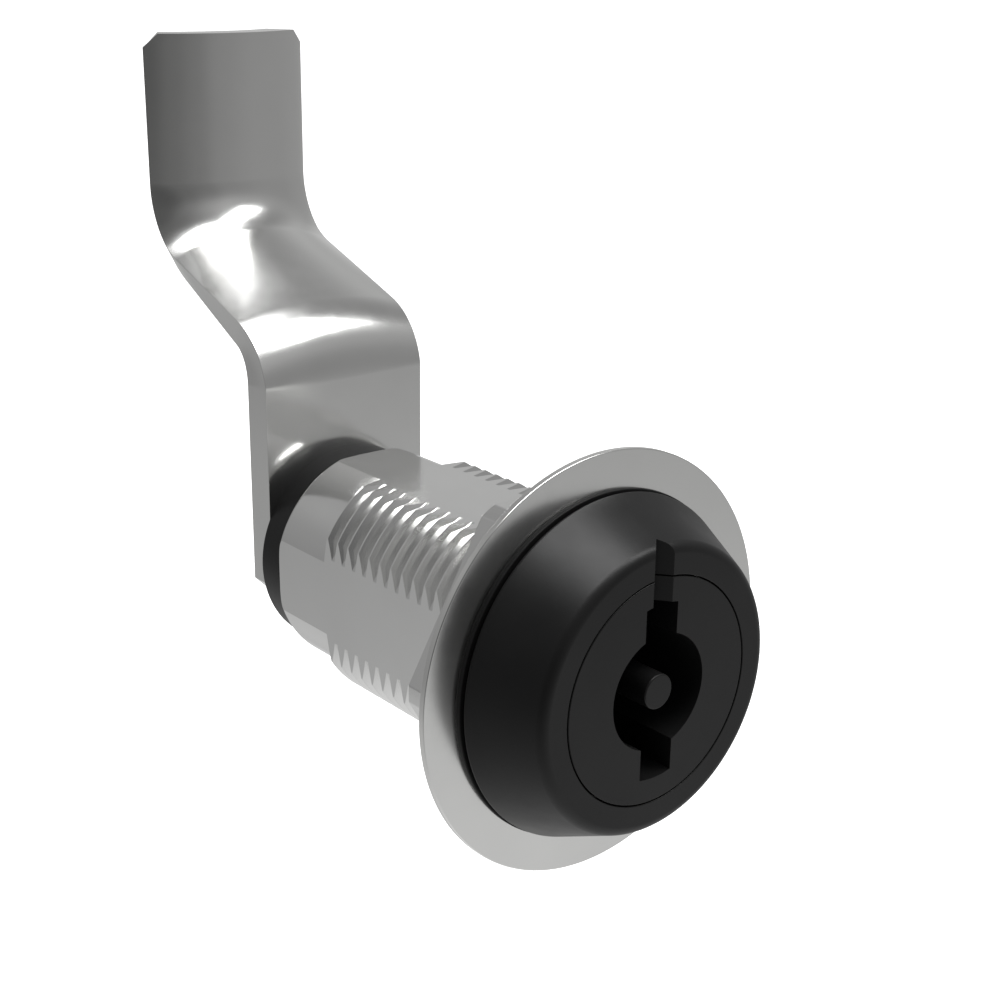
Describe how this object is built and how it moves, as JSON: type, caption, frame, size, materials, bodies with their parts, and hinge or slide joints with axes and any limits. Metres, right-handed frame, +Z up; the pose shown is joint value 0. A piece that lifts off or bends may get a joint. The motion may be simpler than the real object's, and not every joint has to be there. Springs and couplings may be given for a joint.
{
  "type": "quarter-turn fastener",
  "caption": "Panel-mounted quarter-turn cam fastener: a threaded body with flats, black round head, double-bit key socket, hexagon nut and a formed cam turning with the key.",
  "frame": {"origin": "on the lock axis, in the plane of the flange disc's rim, which meets the panel", "axes": "+Y along the lock axis from the head towards the cam, +Z up along the cam at rest, +X to the right seen from the front"},
  "size_m": [0.0348, 0.0625, 0.0626],
  "materials": {
    "plated_body": "satin nickel, machined end and thread",
    "black_plastic": "satin moulded black",
    "black_insert": "satin moulded black",
    "black_ring": "satin moulded black",
    "rubber": "matt",
    "polished_steel": "polished, faint turning marks",
    "nut_steel": "satin",
    "cam_steel": "smooth bright steel with faint grain",
    "hardware_steel": "zinc plated"
  },
  "bodies": {
    "lock_body": {"housing": "plated_body", "bezel": "black_plastic", "head_gasket": "rubber", "flange_disc": "polished_steel", "mounting_nut": "nut_steel"},
    "rotor": {"key_insert": "black_insert", "centre_pin": "black_insert", "cross_pin": "hardware_steel", "insert_seal": "rubber", "spindle": "hardware_steel", "thrust_washer": "hardware_steel", "retaining_clip": "hardware_steel", "stop_ring": "black_ring", "cam": "cam_steel", "cam_washer": "hardware_steel", "lock_washer": "hardware_steel", "cam_screw": "hardware_steel"}
  },
  "joints": [
    {"name": "quarter_turn", "type": "hinge", "parent": "lock_body", "child": "rotor", "pos_m": [0, 0, 0], "axis": [0, 1, 0], "range_deg": [0, 90]}
  ]
}
